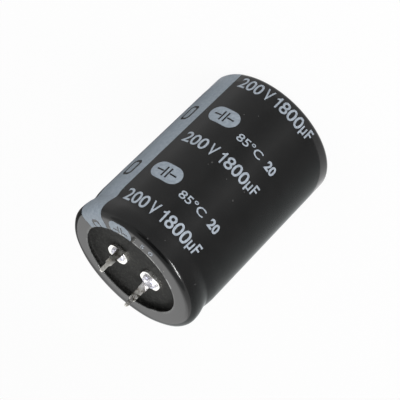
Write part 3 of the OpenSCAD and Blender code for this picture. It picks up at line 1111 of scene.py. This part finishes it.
# The pan's tin is rougher and painted darker than the border's: painted shade in the recess.
shaded_pan_tin = finish(
    "pan tin with painted shade", [(0.25, (0.26, 0.25, 0.24)), (0.5, (0.45, 0.44, 0.43)), (0.75, (0.66, 0.66, 0.65))],
    rough=(0.35, 0.55), bump=0.02, sizes=(1100.0, 2600.0), metallic=1.0)
pin_tin = finish(
    "pin tin", [(0.3, (0.42, 0.39, 0.33)), (0.45, (0.58, 0.56, 0.52)), (0.7, (0.76, 0.76, 0.73))],
    rough=(0.22, 0.4), bump=0.006, sizes=(1100.0, 3400.0), metallic=1.0)
for piece in terminals:
    for slot, material in enumerate((tin, shaded_pan_tin, pin_tin)):
        piece.data.materials[slot] = material
for piece in rivets:
    wear(piece, rivet_metal)
wear(nodes["rubber_facing"], rubber)
wear(seal, rubber)
can_metal = finish(
    "drawn aluminium", [(0.3, (0.62, 0.63, 0.64)), (0.7, (0.8, 0.81, 0.82))],
    rough=(0.3, 0.5), bump=0.004, effect=LINES, sizes=(60.0, 3500.0), metallic=1.0)
wear(nodes["can"], can_metal)

# %% [markdown]
# ## What is inside
# The winding, tape, board, laminate disc, washers and tabs can't be seen in the finished part, but
# each is a piece of its own and gets the finish of its own stuff. The solids that a modelled piece
# replaces get the same finish as that piece.

# %% Inner finishes
inner = {
    "base_insulator": finish(
        "pressed board", [(0.3, (0.5, 0.4, 0.24)), (0.7, (0.66, 0.55, 0.36))],
        rough=(0.7, 0.9), bump=0.02),
    "winding": finish(
        "wound foil", [(0.35, (0.3, 0.29, 0.27)), (0.65, (0.62, 0.61, 0.58))],
        rough=(0.4, 0.7), bump=0.02, effect=LINES, sizes=(200.0, 2500.0), metallic=0.5),
    "winding_tape": finish(
        "closing tape", [(0.3, (0.33, 0.2, 0.07)), (0.7, (0.45, 0.29, 0.11))],
        rough=(0.3, 0.45), bump=0.006),
    "phenolic_disc": finish(
        "paper laminate", [(0.3, (0.12, 0.06, 0.028)), (0.7, (0.2, 0.11, 0.055))],
        rough=(0.45, 0.65), bump=0.01),
}
for name, material in inner.items():
    wear(nodes[name], material)
sheet_metal = finish(
    "soft aluminium sheet", [(0.3, (0.68, 0.68, 0.69)), (0.7, (0.83, 0.83, 0.83))],
    rough=(0.3, 0.5), bump=0.008, effect=LINES, sizes=(400.0, 3000.0), metallic=1.0)
wear(nodes["sleeve"], film_finish)
wear(nodes["sleeve_print"], shaded_ink_finish)
pairs = {"washer": sheet_metal, "tab": sheet_metal, "terminal": tin, "rivet": rivet_metal}
for name, material in pairs.items():
    for pole in ("negative", "positive"):
        wear(nodes[f"{name}_{pole}"], material)
print("finishes:", len(bpy.data.materials))

# %% [markdown]
# ## World
# The world is a soft pale dome. The camera and reflections see it as plain white.

# %% What is seen and what lights
def white_to_eyes(tree, seen_shader, other_shader, share=1.0):
    """Mixes a shader in for camera, glossy and transmission rays, and returns the mix."""
    ray = tree.nodes.new("ShaderNodeLightPath").outputs
    seen = math_node(tree, "MAXIMUM", ray["Is Camera Ray"], ray["Is Glossy Ray"])
    seen = math_node(tree, "MAXIMUM", seen, ray["Is Transmission Ray"])
    part = math_node(tree, "MULTIPLY", seen, share)
    mix = tree.nodes.new("ShaderNodeMixShader")
    for socket, given in zip(mix.inputs, (part, other_shader.outputs[0], seen_shader.outputs[0])):
        tree.links.new(given, socket)
    return mix


# %% World
dome_light = 0.6
world = bpy.data.worlds.new("studio")
bpy.context.scene.world = world
world.use_nodes = True
dome = world.node_tree
soft_light = dome.nodes["Background"]
soft_light.inputs["Color"].default_value = (1, 1, 1, 1)
soft_light.inputs["Strength"].default_value = dome_light
plain = dome.nodes.new("ShaderNodeBackground")
plain.inputs["Color"].default_value = (1, 1, 1, 1)
mixed = white_to_eyes(dome, plain, soft_light)
dome.links.new(mixed.outputs[0], dome.nodes["World Output"].inputs["Surface"])
print("world strength", dome_light)

# %% [markdown]
# ## Floor
# The floor is plain white paper. Most of what the camera sees of it is a plain white glow, and the
# rest is lit paper, so it looks white and still keeps the object's shadow.

# %% Floor
floor_r = 2.5
paper = 0.85
white_share = 0.92
nothing_selected()
bpy.ops.mesh.primitive_circle_add(vertices=96, radius=floor_r, fill_type="NGON")
floor = bpy.context.object
floor.name = "paper_floor"


def floor_material():
    """White paper that is mostly seen as plain white."""
    material = bpy.data.materials.new("white paper")
    material.use_nodes = True
    tree = material.node_tree
    tree.nodes.clear()
    out = tree.nodes.new("ShaderNodeOutputMaterial")
    lit = tree.nodes.new("ShaderNodeBsdfDiffuse")
    lit.inputs["Color"].default_value = (paper, paper, paper, 1)
    shown = tree.nodes.new("ShaderNodeEmission")
    mixed = white_to_eyes(tree, shown, lit, white_share)
    tree.links.new(mixed.outputs[0], out.inputs["Surface"])
    return material


wear(floor, floor_material())
print(f"floor {2 * floor_r} m wide")

# %% [markdown]
# ## A paper tube, cards and a wall
# Black gloss is mostly what it reflects. Product photographers stand paper close round such an
# object, so a paper tube stands round the body here, with tones that go from pale to dark and back.
# Its tones near the left side are a little short of red, which gives the film its cool cast there.
# Three cards hang over the part and a dark wall stands behind the camera, as in a real room, and
# they darken the rim's corner and the pins. All are seen only in reflections and shade nothing.

# %% Sizes and tones of the tube
tube_r = 21
tube_foot = 0.05
tube_rise = 3
tube_steps = 128
cool_share = 0.95
cool_reach = 0.1
tube_tones = (
    (-270, 0.95), (-215, 0.75), (-192, 0.53), (-182, 0.48), (-172, 0.47), (-163, 0.44),
    (-150, 0.42), (-135, 0.38), (-122, 0.4), (-112, 0.54), (-106, 0.68), (-101, 0.82),
    (-95, 0.7), (-88, 0.56), (-80, 0.48), (-72, 0.6), (-62, 0.63), (-50, 0.72), (-38, 0.86),
    (-28, 0.66), (-14, 0.36), (0, 0.14), (14, 0.08), (30, 0.12), (50, 0.4), (90, 0.95))

# %% Glowing paper
def only_reflected(piece):
    """Keeps a staged piece out of everything but reflections."""
    piece.visible_camera = False
    piece.visible_diffuse = False
    piece.visible_transmission = False
    piece.visible_shadow = False


def glowing(name, tones):
    """A paper that glows in tones round its own Z axis; tones are (degrees, brightness) pairs."""
    material = bpy.data.materials.new(name)
    material.use_nodes = True
    tree = material.node_tree
    tree.nodes.clear()
    place = tree.nodes.new("ShaderNodeTexCoord")
    around = tree.nodes.new("ShaderNodeTexGradient")
    around.gradient_type = "RADIAL"
    ramp = tree.nodes.new("ShaderNodeValToRGB")
    glow = tree.nodes.new("ShaderNodeEmission")
    out = tree.nodes.new("ShaderNodeOutputMaterial")
    stops = sorted(((angle + 180) % 360 / 360, tone) for angle, tone in tones)
    stops = [(0, stops[0][1])] + stops + [(1, stops[0][1])]
    while len(ramp.color_ramp.elements) < len(stops):
        ramp.color_ramp.elements.new(0.5)
    for element, (position, tone) in zip(ramp.color_ramp.elements, stops):
        cool = position < cool_reach or position > 1 - cool_reach
        element.position = position
        element.color = (tone * (cool_share if cool else 1), tone, tone, 1)
    link = tree.links.new
    link(place.outputs["Object"], around.inputs["Vector"])
    link(around.outputs["Fac"], ramp.inputs["Fac"])
    link(ramp.outputs["Color"], glow.inputs["Color"])
    link(glow.outputs[0], out.inputs["Surface"])
    return material


# %% Tube
tube = turned("paper_tube", [(tube_r, tube_foot), (tube_r, top + tube_rise)], tube_steps)
only_reflected(tube)
wear(tube, glowing("toned paper", tube_tones))

# %% Cards
def overhead_card(name, place, radius, tone):
    """A round card that lies level over the part; place and radius are in metres."""
    nothing_selected()
    bpy.ops.mesh.primitive_circle_add(vertices=64, radius=radius, fill_type="NGON", location=place)
    card = bpy.context.object
    card.name = card.data.name = name
    apply_place()
    only_reflected(card)
    wear(card, glowing(name + " tone", ((0, tone), (180, tone))))


overhead_card("grey_card", place=(0, -0.09, 0.3), radius=0.27, tone=0.55)
overhead_card("dark_card", place=(0, -0.1, 0.29), radius=0.1, tone=0.0)
overhead_card("side_card", place=(0.12, -0.22, 0.25), radius=0.08, tone=0.1)

# %% Wall
wall_size = 0.7
wall_away = 0.6
wall_tone = 0.25
nothing_selected()
bpy.ops.mesh.primitive_plane_add(size=wall_size)
wall = bpy.context.object
wall.name = wall.data.name = "dark_wall"
toward = Vector((0.1, -0.85, 0.52)).normalized()
wall.location = toward * wall_away
wall.rotation_euler = toward.to_track_quat("Z", "Y").to_euler()
apply_place()
only_reflected(wall)
wear(wall, glowing("dark wall tone", ((0, wall_tone), (180, wall_tone))))
print("tube radius", tube_r, "mm, wall", wall_away, "m away")

# %% [markdown]
# ## Lamps
# One broad lamp from the camera's side lights the print and is kept out of reflections. A broad
# one behind gives the ring its sheen. A narrow one from the left draws the crisp line on the rim.

# %% A lamp
lamp_aim = Vector((0, 0, 50 * mm))


def area_lamp(name, direction, away, size, power, along=(1, 0, 0)):
    """A lamp that faces the part, with its length turned to lie along a direction."""
    nothing_selected()
    bpy.ops.object.light_add(type="AREA")
    lamp = bpy.context.object
    lamp.name = name
    ray = Vector(direction).normalized()
    across = ray.cross(Vector(along)).normalized()
    turn = Matrix((across.cross(ray), across, ray)).transposed()
    lamp.location = lamp_aim + ray * away
    lamp.rotation_euler = turn.to_euler()
    lamp.data.shape = "RECTANGLE"
    lamp.data.size, lamp.data.size_y = size
    lamp.data.energy = power
    lamp.visible_camera = False
    return lamp


# %% Lamps
key = area_lamp("soft_key", (-0.3, -0.9, 0.7), away=0.6, size=(0.5, 0.5), power=3.0)
key.visible_glossy = False
area_lamp("back_lamp", (0, 0.87, 0.49), away=0.6, size=(0.56, 0.28), power=0.19)
line = area_lamp(
    "line_lamp", (-0.576, -0.45, 0.682), away=0.5, size=(0.23, 0.034), power=8.0,
    along=(-0.31, 0.685, 0.19))
line.visible_diffuse = False
bpy.context.scene.view_settings.view_transform = "Standard"
